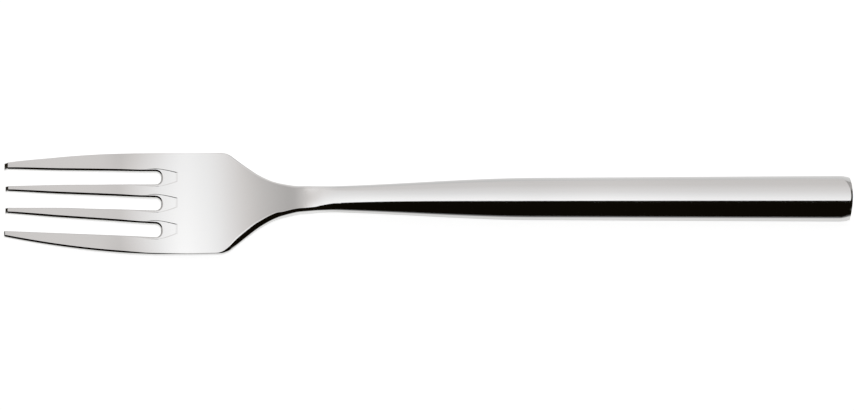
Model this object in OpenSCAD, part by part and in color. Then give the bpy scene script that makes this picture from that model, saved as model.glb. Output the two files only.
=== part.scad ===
// Dinner fork with a hollow oval handle.
// It lies on its belly and on the butt of its handle, tines towards -X, middle plane at Y = 0.

/* [Overall] */
// Length over all, tine tips to handle butt
fork_len = 208; // [180:1:260]

/* [Head] */
// Width across the shoulders
head_w = 25.4; // [22:0.1:32]
// Thickness of the tines at their tips
tip_t = 1.6; // [1.2:0.1:2]
// Thickness of the bowl
bowl_t = 2.2; // [1.7:0.1:2.8]
// Distance from the tips to the point where the shoulders start to draw in
shoulder_at = 53.1; // [48:0.1:64]
// Radius of the shoulder's outer corner
shoulder_r = 4.5; // [2:0.1:6]
// Angle at which the shoulder draws in, from the fork's length
shoulder_slant = 38; // [30:1:48]
// Radius of the hollow sweep from shoulder to neck
sweep_r = 20.5; // [14:0.5:26]
// How far before the shoulders the bowl starts to thicken towards the neck
thicken_lead = 3; // [0:0.5:8]
// Radius of the small round on the edges of the tines and the bowl
edge_r = 0.35; // [0.2:0.05:0.6]
// Radius of the fuller round on the edges of the shoulders and the neck
shoulder_edge_r = 1.2; // [0.4:0.1:1.3]

/* [Side profile] */
// Angle at which the tines rise from the table
tine_rise = 8; // [6:0.5:16]
// Length of the straight front part of the tines
tine_straight = 28; // [18:1:34]
// Angle at which the shoulders climb to the neck
neck_rise = 13.5; // [10:0.5:22]
// Straight length between the belly and the crest of the neck
climb_len = 1.5; // [0.5:0.5:6]
// Distance from the thinnest point of the neck to the mouth of the handle
neck_len = 9.3; // [6:0.1:12]
// How far before the mouth of the handle the neck starts to turn oval
oval_len = 6.5; // [3:0.5:12]
// Radius of the crest of the neck
crest_r = 44; // [30:1:60]

/* [Tines] */
// Length of the slots
slot_len = 38; // [30:0.5:46]
// Width of an inner tine at its tip
tine_tip_w = 0.9; // [0.6:0.05:1.4]
// Width of an inner tine at its root
tine_root_w = 3.05; // [2.4:0.05:3.6]
// Width of an outer tine at its tip
outer_tip_w = 1.3; // [0.8:0.05:1.8]
// Width of an outer tine at its root
outer_root_w = 4.3; // [3:0.05:5]
// Radius of the arc that draws the outer tines together
flare_r = 225; // [170:1:400]
// Distance behind the slots at which that arc begins
flare_lead = 2; // [0:0.5:6]
// Radius in the corners of a slot's root
root_r = 1.3; // [0.6:0.1:1.6]
// Length of the bevel on the upper side of a tip
tip_bevel = 0.8; // [0.3:0.1:1]
// Length of the ground run-out behind a slot
runout_len = 4.2; // [2:0.1:7]
// Depth of the run-out where it meets the slot
runout_depth = 0.2; // [0.1:0.05:0.6]
// Width of the run-out at its far end
runout_far_w = 2.2; // [1:0.1:3]

/* [Handle] */
// Width of the neck at its thinnest
neck_w = 6.3; // [5.4:0.1:8]
// Width of the handle at its butt
butt_w = 11.5; // [9:0.1:15]
// Height of the oval section divided by its width
oval = 0.7; // [0.6:0.01:0.9]
// Width gained per millimetre along the straight grip
grip_taper = 0.011; // [0.005:0.001:0.03]
// Length of the swell from the neck to the straight grip
swell_len = 57; // [40:1:70]
// Length of the rounding at the butt
rim_len = 3; // [1:0.1:4]
// How far that rounding draws in at each side
rim_depth = 1.2; // [0.4:0.1:2]
// Sheet thickness of the shells
wall = 0.8; // [0.7:0.05:1.2]

/* [Inside the handle] */
// Gap for braze and bedding between fitted pieces
fit_gap = 0.05; // [0.03:0.01:0.1]
// Length of the spigot in the mouth of the handle
spigot_len = 8; // [5:0.5:14]
// Length of the tang behind the spigot
tang_len = 46; // [30:1:60]
// How far the sides of the tang stand in from the spigot
tang_step = 0.4; // [0.2:0.1:0.8]
// Thickness of the tang between its milled faces
tang_t = 2; // [1.4:0.1:2.4]
// Distance between the notches of the tang
notch_pitch = 7; // [5:0.5:10]
// Depth of a notch
notch_depth = 0.5; // [0.3:0.1:0.8]
// Length of the end cap outside the shells
cap_len = 4; // [4:0.1:8]
// Length of the end cap's spigot in the shells
cap_spigot_len = 4; // [2:0.1:8]

/* [Hidden] */
$fn = 128;
steel = [0.80, 0.80, 0.79];
cement = [0.62, 0.59, 0.54];
lap = 1;
reach = 60;

function blend(from, to, s) =
    let (t = min(1, max(0, (s - from) / (to - from))))
    t * t * (3 - 2 * t);
function mix(a, b, t) = a + (b - a) * t;

// Plan of the head from the shoulder's corner along the slant and the sweep to the neck
drop = (head_w - neck_w) / 2;
slant_len = (drop - (shoulder_r + sweep_r) * (1 - cos(shoulder_slant))) / sin(shoulder_slant);
neck_at = shoulder_at + (shoulder_r + sweep_r) * sin(shoulder_slant) + slant_len * cos(shoulder_slant);
joint_at = neck_at + neck_len;

// The spine is the middle line of the fork, seen from the side. Along it runs s, from the tips:
// straight tines, belly, climb, crest and then the straight handle, which slopes down until the
// lower side of its butt is on the table.
butt_half_h = oval * butt_w / 2;
tip_x = tip_t / 2 * sin(tine_rise) - fork_len / 2;
belly_from_x = tip_x + tine_straight * cos(tine_rise);
function arc_len(r, angle) = r * angle * PI / 180;
function belly_for(slope) =
    let (crest_len = arc_len(crest_r, neck_rise + slope))
    (joint_at - crest_len - climb_len - tine_straight) / arc_len(1, tine_rise + neck_rise);
function climb_end(slope) =
    let (r = belly_for(slope))
    [belly_from_x + r * (sin(tine_rise) + sin(neck_rise)) + climb_len * cos(neck_rise),
     bowl_t / 2 + r * (1 - cos(neck_rise)) + climb_len * sin(neck_rise)];
function joint_for(slope) =
    climb_end(slope) + crest_r * [sin(neck_rise) + sin(slope), cos(slope) - cos(neck_rise)];
function slope_for(guess) =
    let (joint = joint_for(guess))
    atan((joint[1] - butt_half_h) / (fork_len / 2 - joint[0]));
handle_slope = slope_for(slope_for(slope_for(0)));
belly_r = belly_for(handle_slope);
joint = joint_for(handle_slope);
handle_len = (fork_len / 2 - joint[0]) / cos(handle_slope);
fork_end = joint_at + handle_len;
crest_from = climb_end(handle_slope);
crest_start = joint_at - arc_len(crest_r, neck_rise + handle_slope);
belly_end = crest_start - climb_len;
tip_z = bowl_t / 2 + belly_r * (1 - cos(tine_rise)) + tine_straight * sin(tine_rise);

function heading(s) =
    s < tine_straight ? -tine_rise :
    s < belly_end ? (s - tine_straight) / arc_len(belly_r, 1) - tine_rise :
    s < crest_start ? neck_rise :
    neck_rise - (s - crest_start) / arc_len(crest_r, 1);
function spine(s) =
    let (h = heading(s))
    s < tine_straight ? [tip_x + s * cos(h), tip_z + s * sin(h)] :
    s < belly_end ?
        [belly_from_x + belly_r * (sin(h) + sin(tine_rise)), bowl_t / 2 + belly_r * (1 - cos(h))] :
    s < crest_start ? crest_from - (crest_start - s) * [cos(h), sin(h)] :
    crest_from + crest_r * [sin(neck_rise) - sin(h), cos(h) - cos(neck_rise)];

// Half the width of the handle, which also rules the neck from its thinnest point on
waist = (butt_w - neck_w) / 2 - grip_taper / 2 * (fork_end - neck_at);
function grip_half_w(s) =
    butt_w / 2 - grip_taper / 2 * (fork_end - s) - waist * (1 - blend(neck_at, neck_at + swell_len, s));

// Half the width of the head: the flare of the tines, corner, slant and sweep in turn
corner_end = shoulder_at + shoulder_r * sin(shoulder_slant);
sweep_start = neck_at - sweep_r * sin(shoulder_slant);
sweep_start_w = neck_w / 2 + sweep_r * (1 - cos(shoulder_slant));
flare_at = slot_len + flare_lead;
function head_half_w(s) =
    s < flare_at ? head_w / 2 - flare_r + sqrt(flare_r ^ 2 - (flare_at - s) ^ 2) :
    s < shoulder_at ? head_w / 2 :
    s < corner_end ? head_w / 2 - shoulder_r + sqrt(shoulder_r ^ 2 - (s - shoulder_at) ^ 2) :
    s < sweep_start ? sweep_start_w + (sweep_start - s) * tan(shoulder_slant) :
    s < neck_at ? neck_w / 2 + sweep_r - sqrt(sweep_r ^ 2 - (neck_at - s) ^ 2) :
    grip_half_w(s);

// Half the thickness of the head, which ends as the handle's oval
function head_half_t(s) =
    let (plate = mix(tip_t, bowl_t, blend(0, slot_len, s)) / 2)
    mix(plate, oval * grip_half_w(max(s, neck_at)), blend(shoulder_at - thicken_lead, joint_at, s));

// A section is a rectangle with rounded corners, which grow fuller at the shoulders and grow again
// before the mouth of the handle, until the section is an oval
oval_from = joint_at - oval_len;
corner_steps = 6;
fullest = 0.9;
function corner_r(s) =
    mix(edge_r, shoulder_edge_r, blend(shoulder_at - thicken_lead, shoulder_at + shoulder_r, s));
function section(s) =
    let (w = head_half_w(s), t = head_half_t(s), grown = blend(oval_from, joint_at, s))
    let (r = min(corner_r(s), fullest * t))
    let (rw = mix(r, w, grown), rt = mix(r, t, grown))
    let (h = heading(s), c = spine(s))
    [for (quarter = [0:3], i = [0:corner_steps])
        let (a = 90 * quarter + 90 * i / corner_steps)
        let (side = quarter == 0 || quarter == 3 ? 1 : -1, up = quarter < 2 ? 1 : -1)
        let (y = side * (w - rw) + rw * cos(a), n = up * (t - rt) + rt * sin(a))
        [c[0] - n * sin(h), y, c[1] + n * cos(h)]];

// Closed body through a list of sections that all have the same number of points
module loft(sections) {
    n = len(sections[0]);
    last = len(sections) - 1;
    sides = [for (k = [0:last - 1], i = [0:n - 1])
        let (a = k * n + i, b = k * n + (i + 1) % n)
        [a, a + n, b + n, b]];
    front = [[for (i = [0:n - 1]) i]];
    back = [[for (i = [n - 1:-1:0]) last * n + i]];
    polyhedron(points = [for (ring = sections) each ring], faces = concat(sides, front, back));
}

// Stations along the head, closer together where the outline turns
coarse = 3;
fine = 0.9;
stations = concat(
    [for (s = [0:coarse:tine_straight]) s],
    [for (s = [tine_straight + coarse / 2:coarse / 2:shoulder_at - fine]) s],
    [for (s = [shoulder_at:fine:joint_at - fine / 2]) s],
    [joint_at]);

module blank() {
    loft([for (s = stations) section(s)]);
}

// The slots share what the tines leave of the width, at the tips and at the roots
slot_tip_w = 2 * (head_half_w(0) - outer_tip_w - tine_tip_w) / 3;
slot_root_w = (head_w - 2 * outer_root_w - 2 * tine_root_w) / 3;
slot_tip_pitch = slot_tip_w + tine_tip_w;
slot_root_pitch = slot_root_w + tine_root_w;
slot_places = [-1, 0, 1];
root_x = tip_x + slot_len;

// Plan of one slot, from beyond the tips to its rounded root
module slot_plan(place) {
    tip_mid = place * slot_tip_pitch;
    root_mid = place * slot_root_pitch;
    round_x = root_x - root_r;
    polygon([
        [tip_x - lap, tip_mid - slot_tip_w / 2],
        [round_x, root_mid - slot_root_w / 2],
        [round_x, root_mid + slot_root_w / 2],
        [tip_x - lap, tip_mid + slot_tip_w / 2]]);
    translate([round_x - lap, root_mid - slot_root_w / 2 + root_r])
        square([lap + root_r, slot_root_w - 2 * root_r]);
    for (side = [-1, 1])
        translate([round_x, root_mid + side * (slot_root_w / 2 - root_r)])
            circle(r = root_r);
}

module slots() {
    linear_extrude(height = reach)
        for (place = slot_places)
            slot_plan(place);
}

// Shallow ground ramps that run out of the slots into the bowl, a little wider than the slots
module runouts() {
    near_x = root_x - runout_len;
    far_x = root_x + runout_len;
    near_w = slot_root_w;
    root_w = slot_root_w + edge_r;
    near_z = spine(slot_len)[1] + head_half_t(slot_len) - 2 * runout_depth;
    far_z = spine(slot_len + runout_len)[1] + head_half_t(slot_len + runout_len);
    intersection() {
        linear_extrude(height = reach)
            for (place = slot_places)
                translate([0, place * slot_root_pitch])
                    polygon([
                        [near_x, -near_w / 2],
                        [root_x, -root_w / 2],
                        [far_x, -runout_far_w / 2],
                        [far_x, runout_far_w / 2],
                        [root_x, root_w / 2],
                        [near_x, near_w / 2]]);
        translate([0, head_w / 2, 0])
            rotate([90, 0, 0])
                linear_extrude(height = head_w)
                    polygon([[near_x, near_z], [far_x, far_z], [far_x, reach], [near_x, reach]]);
    }
}

// Bevels the upper edge of all the tips at once, at half a right angle
module tip_bevels() {
    translate([tip_x, head_w / 2, tip_z])
        rotate([0, tine_rise, 0])
            rotate([90, 0, 0])
                linear_extrude(height = head_w)
                    polygon([
                        [-lap, tip_t / 2 - tip_bevel - lap],
                        [tip_bevel + lap, tip_t / 2 + lap],
                        [-lap, tip_t / 2 + lap]]);
}

// Puts what is drawn along the handle's own axis, from the joint on, into place
module on_handle() {
    translate([joint[0], 0, joint[1]])
        rotate([0, handle_slope, 0])
            children();
}

// Turns a profile of [along the axis, half width] points half way about the handle's axis
module half_oval(profile, flatness) {
    scale([1, 1, flatness])
        rotate([90, 0, 90])
            rotate_extrude(angle = 180)
                polygon([for (p = profile) [p[1], p[0]]]);
}

// The cavity keeps the wall's thickness at the butt, above and below as well as at the sides
cavity_oval = (butt_half_h - wall) / (butt_w / 2 - wall);
swell_steps = 16;
rim_step = 10;
shell_len = handle_len - cap_len;
core_end = shell_len - cap_spigot_len;
grip_stations = concat(
    [for (i = [0:swell_steps]) mix(0, neck_at + swell_len - joint_at, i / swell_steps)],
    [shell_len]);

// Upper half of the handle's outer form
module half_outside() {
    half_oval(
        concat(
            [[0, 0]],
            [for (x = grip_stations) [x, grip_half_w(joint_at + x)]],
            [[shell_len, 0]]),
        oval);
}

// Upper half of the handle's cavity between two points on its axis, drawn in by a gap
module half_inside(from, to, gap) {
    inner = [for (x = grip_stations) if (x > from && x < to) x];
    half_oval(
        concat(
            [[from, 0]],
            [for (x = concat([from], inner, [to])) [x, grip_half_w(joint_at + x) - wall - gap]],
            [[to, 0]]),
        cavity_oval);
}

module half_shell() {
    difference() {
        half_outside();
        half_inside(-lap, shell_len + lap, 0);
    }
}

// Oval bar along the handle's axis that fits the cavity at one point of it, drawn in by an inset
module oval_bar(from, to, fits_at, inset) {
    half_w = grip_half_w(joint_at + fits_at) - wall - fit_gap - inset;
    translate([from, 0, 0])
        rotate([90, 0, 90])
            linear_extrude(height = to - from)
                scale([1, cavity_oval])
                    circle(r = half_w);
}

// Tang milled flat above and below and notched down both sides, grown all round by a margin
module tang(margin) {
    mouth = grip_half_w(joint_at) - wall;
    notches = floor(tang_len / notch_pitch);
    half_w = mouth - fit_gap - tang_step + margin;
    tang_end = spigot_len + tang_len + margin;
    intersection() {
        oval_bar(spigot_len - lap, tang_end, 0, tang_step - margin);
        translate([0, 0, -tang_t / 2 - margin])
            linear_extrude(height = tang_t + 2 * margin)
                difference() {
                    translate([0, -mouth])
                        square([tang_end + lap, 2 * mouth]);
                    for (k = [1:notches], side = [-1, 1])
                        translate([spigot_len + (k - 0.5) * notch_pitch, side * half_w])
                            rotate(45)
                                square(sqrt(2) * notch_depth, center = true);
                }
    }
}

module fork_head() {
    color(steel) {
        difference() {
            blank();
            slots();
            runouts();
            tip_bevels();
        }
        on_handle() {
            oval_bar(-lap, spigot_len, 0, 0);
            tang(0);
        }
    }
}

module upper_handle_shell() {
    color(steel)
        on_handle()
            half_shell();
}

module lower_handle_shell() {
    color(steel)
        on_handle()
            rotate([180, 0, 0])
                half_shell();
}

// Cap that rounds off the butt, with a spigot between the shells
module end_cap() {
    rim_from = handle_len - rim_len;
    rim = [for (a = [0:rim_step:90])
        [rim_from + rim_len * sin(a), grip_half_w(joint_at + rim_from) - rim_depth * (1 - cos(a))]];
    color(steel)
        on_handle() {
            for (turn = [0, 180])
                rotate([turn, 0, 0])
                    half_oval(
                        concat(
                            [[shell_len, 0], [shell_len, grip_half_w(joint_at + shell_len)]],
                            rim,
                            [[handle_len, 0]]),
                        oval);
            oval_bar(core_end, shell_len + cap_len / 2, core_end, 0);
        }
}

module handle_core() {
    color(cement)
        on_handle()
            difference() {
                for (turn = [0, 180])
                    rotate([turn, 0, 0])
                        half_inside(spigot_len + fit_gap, core_end - fit_gap, fit_gap);
                tang(fit_gap);
            }
}

fork_head();
upper_handle_shell();
lower_handle_shell();
end_cap();
handle_core();
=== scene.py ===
from math import asin, atan, atan2, copysign, cos, exp, hypot, pi, radians, sin, sqrt, tan
import bpy
from mathutils import Matrix, Vector


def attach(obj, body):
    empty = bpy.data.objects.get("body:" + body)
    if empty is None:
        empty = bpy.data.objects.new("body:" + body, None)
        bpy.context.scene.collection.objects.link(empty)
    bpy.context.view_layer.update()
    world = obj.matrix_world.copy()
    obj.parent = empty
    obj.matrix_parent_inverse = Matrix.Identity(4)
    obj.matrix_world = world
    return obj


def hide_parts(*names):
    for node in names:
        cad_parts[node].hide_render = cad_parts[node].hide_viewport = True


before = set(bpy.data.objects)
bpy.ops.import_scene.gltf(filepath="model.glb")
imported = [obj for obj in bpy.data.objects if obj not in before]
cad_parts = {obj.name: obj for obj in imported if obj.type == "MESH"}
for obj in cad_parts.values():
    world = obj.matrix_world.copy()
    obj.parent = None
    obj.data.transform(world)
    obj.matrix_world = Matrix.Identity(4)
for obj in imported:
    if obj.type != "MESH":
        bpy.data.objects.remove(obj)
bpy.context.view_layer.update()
scene = bpy.context.scene
scene.view_settings.view_transform = "Standard"
mm = 0.001  # the dictionaries below are in millimetres and degrees
quarter = radians(90)


def smooth(start, end, at):
    t = min(1, max(0, (at - start) / (end - start)))
    return t * t * (3 - 2 * t)


def mix(a, b, t):
    return a + (b - a) * t


def stepped(stops, s):  # smooth change from stop to stop
    if s <= stops[0][0]:
        return stops[0][1]
    for (start, low), (end, high) in zip(stops, stops[1:]):
        if s < end:
            return mix(low, high, smooth(start, end, s))
    return stops[-1][1]


def between(low, high, count):
    return [mix(low, high, i / count) for i in range(count + 1)]


def spaced(start, end, step):
    return between(start, end, max(1, round((end - start) / step)))


# Rules of the fork's form. Names that end in At are places along the spine, counted from the tips

sideForm = {
    "length": 208,         # over all, tips to butt
    "tipThickness": 1.6,
    "bowlThickness": 2.2,
    "tineRise": 8,         # the tines climb from the table towards their tips
    "tineStraight": 28,
    "neckRise": 13.5,      # the shoulders climb to the neck
    "climb": 1.5,          # straight between belly and crest
    "crestRadius": 44,
}
planForm = {
    "width": 25.4,         # across the shoulders
    "shoulderAt": 53.1,
    "shoulderRadius": 4.5,
    "shoulderSlant": 38,
    "sweepRadius": 20.5,   # hollow sweep from shoulder to neck
    "thickenLead": 3,      # the bowl thickens towards the neck, from this far before the shoulders
    "flareRadius": 225,    # draws the outer tines together
    "flareLead": 2,
    "neckWidth": 6.3,
    "neckLength": 9.3,     # thinnest point to the mouth of the handle
    "crown": 0.3,          # the bowl's upper side is domed across by this much
    "crownFrom": (24, 44),
    "crownTo": (57, 72),
    # How far the sweep stands out from a plain arc, by the place along the spine
    "fuller": ((58, 0), (65, 0.28), (70, 0.36), (73.5, 0.24), (78, 0.02), (81, 0)),
}
gripForm = {
    "buttWidth": 11.5,
    "oval": 0.7,           # height divided by width
    "taper": 0.011,        # width gained per millimetre of the straight grip
    "swell": 57,           # neck to straight grip
    "flatTop": 1.15,       # half width of a gently domed middle at the mouth, which fades along the handle
    "flatFade": 15,
    "dome": 9.4,           # half the angle of its arc
    "wall": 0.8,
    "fitGap": 0.05,        # round what goes into the handle
}

slant = radians(planForm["shoulderSlant"])
tineRise = radians(sideForm["tineRise"])
neckRise = radians(sideForm["neckRise"])
straight = sideForm["tineStraight"]
crest = sideForm["crestRadius"]
bellyZ = sideForm["bowlThickness"] / 2
halfHead = planForm["width"] / 2
halfNeck = planForm["neckWidth"] / 2
halfButt = gripForm["buttWidth"] / 2
bends = planForm["shoulderRadius"] + planForm["sweepRadius"]
slantLength = (halfHead - halfNeck - bends * (1 - cos(slant))) / sin(slant)
neckAt = planForm["shoulderAt"] + bends * sin(slant) + slantLength * cos(slant)
jointAt = neckAt + planForm["neckLength"]
tipX = sideForm["tipThickness"] / 2 * sin(tineRise) - sideForm["length"] / 2
bellyX = tipX + straight * cos(tineRise)
buttX = sideForm["length"] / 2


def sideCurve(slope):  # belly radius, end of the climb and mouth of the handle for a handle at this slope
    climb = sideForm["climb"]
    radius = (jointAt - crest * (neckRise + slope) - climb - straight) / (tineRise + neckRise)
    climbX = bellyX + radius * (sin(tineRise) + sin(neckRise)) + climb * cos(neckRise)
    climbZ = bellyZ + radius * (1 - cos(neckRise)) + climb * sin(neckRise)
    mouthX = climbX + crest * (sin(neckRise) + sin(slope))
    mouthZ = climbZ + crest * (cos(slope) - cos(neckRise))
    return radius, climbX, climbZ, mouthX, mouthZ


handleSlope = 0
slopeTries = 3  # enough to settle the slope at which the underside of the butt lies on the table
for attempt in range(slopeTries):
    mouthX, mouthZ = sideCurve(handleSlope)[3:]
    handleSlope = atan((mouthZ - gripForm["oval"] * halfButt) / (buttX - mouthX))
bellyRadius, climbX, climbZ, mouthX, mouthZ = sideCurve(handleSlope)
handleLength = (buttX - mouthX) / cos(handleSlope)
forkEnd = jointAt + handleLength
crestStart = jointAt - crest * (neckRise + handleSlope)
bellyEnd = crestStart - sideForm["climb"]
tipZ = bellyZ + bellyRadius * (1 - cos(tineRise)) + straight * sin(tineRise)


def heading(s):  # upward angle of the spine
    if s < straight:
        return -tineRise
    if s < bellyEnd:
        return (s - straight) / bellyRadius - tineRise
    if s < crestStart:
        return neckRise
    return neckRise - (s - crestStart) / crest


def spinePoint(s):
    h = heading(s)
    if s < straight:
        return tipX + s * cos(h), tipZ + s * sin(h)
    if s < bellyEnd:
        return bellyX + bellyRadius * (sin(h) + sin(tineRise)), bellyZ + bellyRadius * (1 - cos(h))
    if s < crestStart:
        return climbX - (crestStart - s) * cos(h), climbZ - (crestStart - s) * sin(h)
    return climbX + crest * (sin(neckRise) - sin(h)), climbZ + crest * (cos(h) - cos(neckRise))


def alongAtX(x):  # place along the spine of a point of the belly
    turn = asin((x - bellyX) / bellyRadius - sin(tineRise)) + tineRise
    return straight + bellyRadius * turn


waist = halfButt - halfNeck - gripForm["taper"] / 2 * (forkEnd - neckAt)


def flatTop(x):  # from the mouth of the handle
    return gripForm["flatTop"] * exp(-max(0, x) / gripForm["flatFade"])


def gripHalf(s):
    swelling = 1 - smooth(neckAt, neckAt + gripForm["swell"], s)
    return halfButt - gripForm["taper"] / 2 * (forkEnd - s) - waist * swelling


slotForm = {
    "count": 3,            # the lists below and the run-outs' shift have a value for each slot or tine
    "length": 38,
    "lead": 1,             # the taper is counted from this far before the tips
    "tineTip": 0.9,        # width of an inner tine at its tip and root, then of an outer one
    "tineRoot": 3.05,
    "outerTip": 1.3,
    "outerRoot": 4.3,
    "rootRadius": 1.3,
    # How far the tines' edges bulge, by the place along the spine, with those that face -Y first
    "fuller": ((0, 0.15), (14, 0.35), (24, 0.35), (36, 0.42)),
    "fullerBack": ((0, 0.7), (14, 1), (24, 0.6), (36, 0.25)),
    "backShare": (0, 0.45, 0.3),  # of that, for each slot from -Y on
    "fullerOuter": ((0, 0.2), (28, 0.22), (36, 0.15), (44, 0)),
    "fullerOuterBack": ((0, 0.25), (12, 0)),
    "tipBevel": (0.2, 0.5, 0.6, 0.75),  # each tine's, from -Y on
    "outerReach": 0.3,     # the outer tines are a little longer
}
slotCount = slotForm["count"]
lastTine = slotCount  # tines and slots are counted from 0, from -Y on
cornerEnd = planForm["shoulderAt"] + planForm["shoulderRadius"] * sin(slant)
sweepStart = neckAt - planForm["sweepRadius"] * sin(slant)
sweepStartHalf = halfNeck + planForm["sweepRadius"] * (1 - cos(slant))
flareAt = slotForm["length"] + planForm["flareLead"]


def plainHalf(s):
    if s < flareAt:
        flare = planForm["flareRadius"]
        return halfHead - flare + sqrt(flare ** 2 - (flareAt - s) ** 2)
    if s < planForm["shoulderAt"]:
        return halfHead
    if s < cornerEnd:
        corner = planForm["shoulderRadius"]
        return halfHead - corner + sqrt(corner ** 2 - (s - planForm["shoulderAt"]) ** 2)
    if s < sweepStart:
        return sweepStartHalf + (sweepStart - s) * tan(slant)
    if s < neckAt:
        sweep = planForm["sweepRadius"]
        return halfNeck + sweep - sqrt(sweep ** 2 - (neckAt - s) ** 2)
    return gripHalf(s)


def headHalf(s):  # half the width
    return plainHalf(s) + stepped(planForm["fuller"], s)


def headThick(s):  # half the thickness
    plate = mix(sideForm["tipThickness"], sideForm["bowlThickness"], smooth(0, slotForm["length"], s)) / 2
    thickening = smooth(planForm["shoulderAt"] - planForm["thickenLead"], jointAt, s)
    return mix(plate, gripForm["oval"] * gripHalf(max(s, neckAt)), thickening)


def place(s, y, n):  # a point by its place along the spine, to the side and above the spine
    x, z = spinePoint(s)
    h = heading(s)
    return Vector((x - n * sin(h), y, z + n * cos(h))) * mm


def spineAxes(s):
    h = heading(s)
    return Vector((cos(h), 0, sin(h))), Vector((-sin(h), 0, cos(h)))


edgeForm = {  # rounds of the edges, by the place along the spine; those that face -Y are polished rounder
    "front": ((0, 0.6), (6, 0.65), (28, 0.65), (36, 0.35), (45, 0.12), (52, 0.15), (57.8, 2.05), (61, 2.05),
              (64, 1.75), (67, 1.65), (69.5, 1.25), (73, 1.2), (77, 1.1)),
    "back": ((0, 0.25), (36, 0.25), (45, 0.12), (50, 0.15), (57.6, 0.5), (66, 0.5), (76, 1.1)),
    "slotFront": ((0, 0.65), (10, 0.75), (28, 0.7), (33, 0.6), (36, 0.66)),
    "slotBack": ((0, 0.2), (30, 0.25), (36, 0.66)),
    "share": 0.65,         # of an inner tine's width, at most
    "tallest": 0.95,       # of half the thickness
    "domeFrom": 74,        # between these places the neck's flat top becomes a dome
    "domeTo": 78.5,
    "ovalFrom": 76,        # and between these the rounded bar turns into the handle's oval
    "ovalTo": 82.2,
}
probe = 0.05  # how far to either side the steepness of a surface is measured


def outerRound(s, side):  # across; side -1 faces -Y
    return stepped(edgeForm["back" if side > 0 else "front"], s)


def slotRound(s, side):  # on the lower (-1) or higher (1) side of a slot
    tine = mix(slotForm["tineTip"], slotForm["tineRoot"], s / slotForm["length"])
    return min(stepped(edgeForm["slotFront" if side > 0 else "slotBack"], s), edgeForm["share"] * tine)


def crown(s):  # how far the bowl's upper side is domed here
    return planForm["crown"] * smooth(*planForm["crownFrom"], s) * (1 - smooth(*planForm["crownTo"], s))


def roundHeight(s, wide):  # of a round that reaches this far across
    return min(wide, edgeForm["tallest"] * (headThick(s) - crown(s) / 2))


def height(s, y, side):  # of the upper side (1) or the underside (-1) above the spine
    if side < 0:
        return -headThick(s)
    return headThick(s) - crown(s) * (y / halfHead) ** 2


def faceNormal(s, y, side):
    forward, up = spineAxes(s)
    steepness = (height(s + probe, y, side) - height(s - probe, y, side)) / (2 * probe)
    lean = 2 * crown(s) * y / halfHead ** 2 if side > 0 else 0
    return (up * side - forward * steepness * side + Vector((0, lean, 0))).normalized()


# A skin is a mesh in the making: one vertex for each place, one normal for each corner of a face

weld = 1e-7  # metres; nearer points are one vertex


def newSkin():
    return {"index": {}, "points": [], "faces": [], "normals": []}


def addFace(skin, points, normals):
    corners = {}
    for point, normal in zip(points, normals):
        key = tuple(round(value / weld) for value in point)
        if key not in skin["index"]:
            skin["index"][key] = len(skin["points"])
            skin["points"].append(point)
        corners.setdefault(skin["index"][key], normal)
    if len(corners) < 3:
        return
    ring = list(corners)
    first = skin["points"][ring[0]]
    facing = Vector((0, 0, 0))
    for a, b in zip(ring, ring[1:] + ring[:1]):
        facing += (skin["points"][a] - first).cross(skin["points"][b] - first)
    if facing.dot(sum(corners.values(), Vector((0, 0, 0)))) < 0:
        ring.reverse()
    skin["faces"].append(ring)
    skin["normals"].extend(corners[i] for i in ring)


def addPatch(skin, points, normals):  # both are rows of columns
    for i in range(len(points) - 1):
        for j in range(len(points[i]) - 1):
            quad = [(i, j), (i, j + 1), (i + 1, j + 1), (i + 1, j)]
            addFace(skin, [points[a][b] for a, b in quad], [normals[a][b] for a, b in quad])


def addFlat(skin, points, normal):
    addPatch(skin, points, [[normal for point in row] for row in points])


def turnedTo(towards, normal):  # the normal or its opposite, whichever looks that way
    return normal if normal.dot(towards) > 0 else -normal


def addCreased(skin, points, towards):  # a patch that is smooth in itself and creased at its rim
    def difference(row, k):
        return row[min(k + 1, len(row) - 1)] - row[max(k - 1, 0)]

    columns = list(zip(*points))
    normals = []
    for i, row in enumerate(points):
        normals.append([])
        for j in range(len(row)):
            across = difference(row, j)
            if across.length < weld:
                across = difference(points[min(i + 1, len(points) - 1)], j)
            normals[-1].append(turnedTo(towards, across.cross(difference(columns[j], i)).normalized()))
    addPatch(skin, points, normals)


def finishPiece(skin, name, material):
    mesh = bpy.data.meshes.new(name)
    mesh.from_pydata(skin["points"], [], skin["faces"])
    mesh.polygons.foreach_set("use_smooth", [True] * len(mesh.polygons))
    mesh.normals_split_custom_set(skin["normals"])
    mesh.materials.append(material)
    piece = bpy.data.objects.new(name, mesh)
    scene.collection.objects.link(piece)
    return piece


def seat(piece, node):
    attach(piece, "root")
    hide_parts(node)
    print("made", piece.name, len(piece.data.polygons), "faces")


# Node trees: an input gets a value, or the socket that feeds it


def feed(tree, node, inputs):
    for name, value in inputs.items():
        if isinstance(value, bpy.types.NodeSocket):
            tree.links.new(value, node.inputs[name])
        else:
            node.inputs[name].default_value = value


def addNode(tree, kind, inputs=None, **settings):
    node = tree.nodes.new(kind)
    for name, value in settings.items():
        setattr(node, name, value)
    feed(tree, node, inputs or {})
    return node


def maths(tree, operation, *values):
    return addNode(tree, "ShaderNodeMath", dict(enumerate(values)), operation=operation).outputs[0]


def axesOf(tree, vector):
    return addNode(tree, "ShaderNodeSeparateXYZ", {"Vector": vector}).outputs


def mapRange(tree, value, source, target=(0, 1), kind="LINEAR"):
    return addNode(tree, "ShaderNodeMapRange", {
        "Value": value,
        "From Min": source[0],
        "From Max": source[1],
        "To Min": target[0],
        "To Max": target[1],
    }, interpolation_type=kind).outputs["Result"]


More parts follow.
